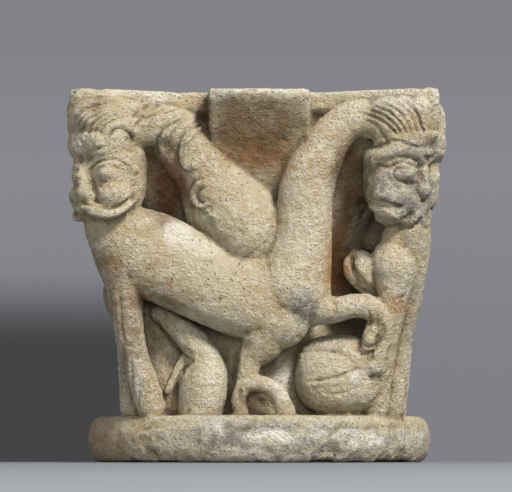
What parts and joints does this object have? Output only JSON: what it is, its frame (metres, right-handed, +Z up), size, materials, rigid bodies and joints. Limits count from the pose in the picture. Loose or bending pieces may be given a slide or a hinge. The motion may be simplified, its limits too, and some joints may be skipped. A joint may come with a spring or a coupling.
{
  "type": "column capital",
  "caption": "Carved stone column capital with crossing long-necked beasts, corner heads, a hollow-sided abacus and a round necking ring.",
  "frame": {"origin": "centre of the lower bed, the flat underside of the necking ring", "axes": "+Z up the column's axis, the face shown in the picture looks along -Y"},
  "size_m": [0.31, 0.3078, 0.3],
  "materials": {
    "limestone": "weathered, rough"
  },
  "bodies": {
    "root": {"capital": "limestone"}
  },
  "joints": []
}
